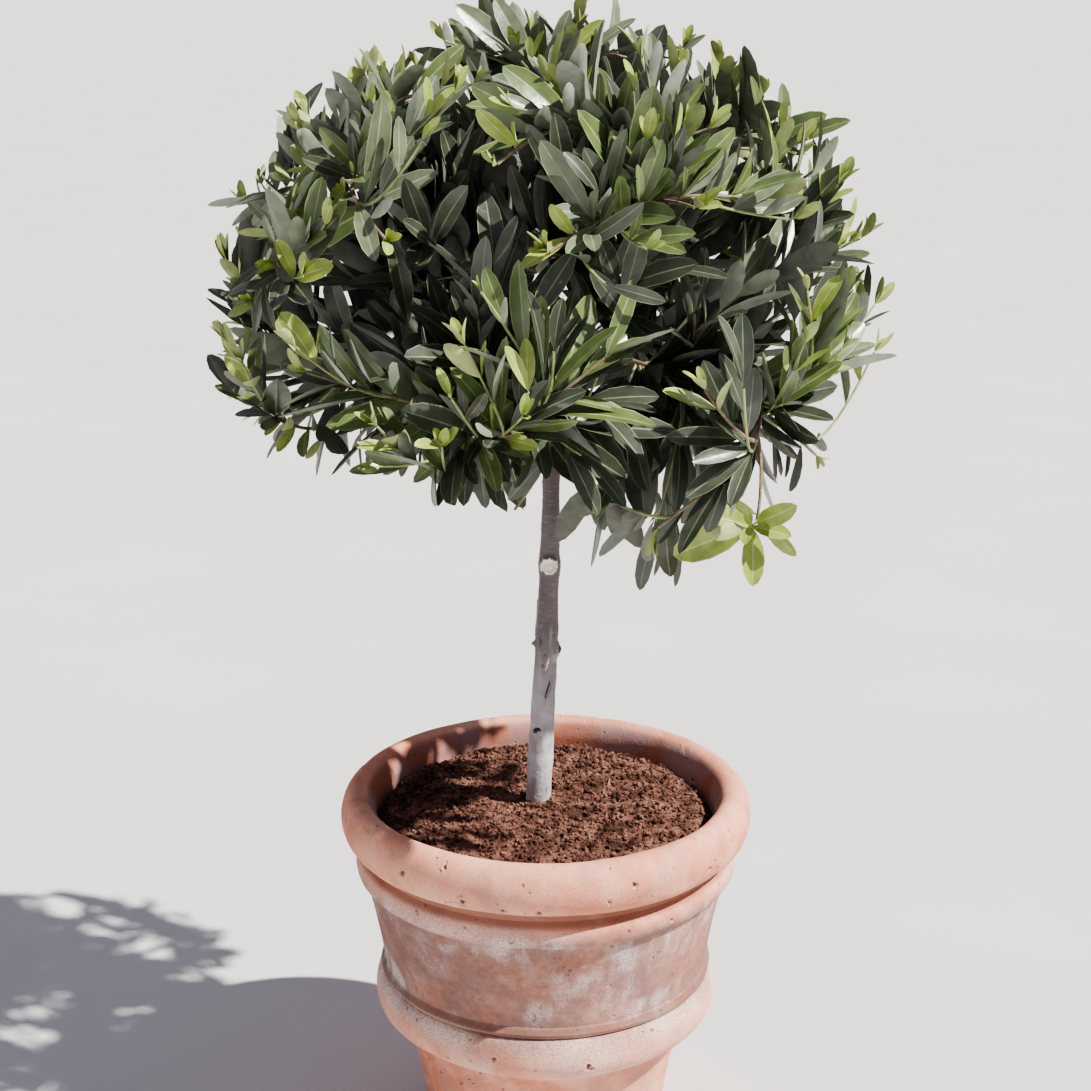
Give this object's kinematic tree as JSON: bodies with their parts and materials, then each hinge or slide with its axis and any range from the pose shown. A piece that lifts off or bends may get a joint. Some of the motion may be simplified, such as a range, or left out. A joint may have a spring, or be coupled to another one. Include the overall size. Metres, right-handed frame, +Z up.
{
  "type": "potted olive tree",
  "caption": "Young olive tree grown as a round head of narrow leaves on a bare upright stem, planted in soil in a terracotta pot with a rolled rim.",
  "frame": {"origin": "middle of the pot's flat underside", "axes": "+Z up along the stem, -Y towards the viewer's side of the pot, +X to the viewer's right"},
  "size_m": [0.3888, 0.3993, 0.6927],
  "materials": {
    "terracotta": "matte",
    "potting_soil": "matte",
    "bark": "matte",
    "young_bark": "matte",
    "foliage": "satin"
  },
  "bodies": {
    "root": {"pot": "terracotta", "potting_soil": "potting_soil", "trunk": "bark", "bough_right": "young_bark", "bough_back_right": "young_bark", "bough_back_left": "young_bark", "bough_left": "young_bark", "bough_front": "young_bark", "bough_upper_front_right": "young_bark", "bough_upper_back_right": "young_bark", "bough_upper_back_left": "young_bark", "bough_upper_front_left": "young_bark", "bough_top": "young_bark", "foliage_right": "foliage", "foliage_back_right": "foliage", "foliage_back_left": "foliage", "foliage_left": "foliage", "foliage_front": "foliage", "foliage_upper_front_right": "foliage", "foliage_upper_back_right": "foliage", "foliage_upper_back_left": "foliage", "foliage_upper_front_left": "foliage", "foliage_top": "foliage"}
  },
  "joints": []
}
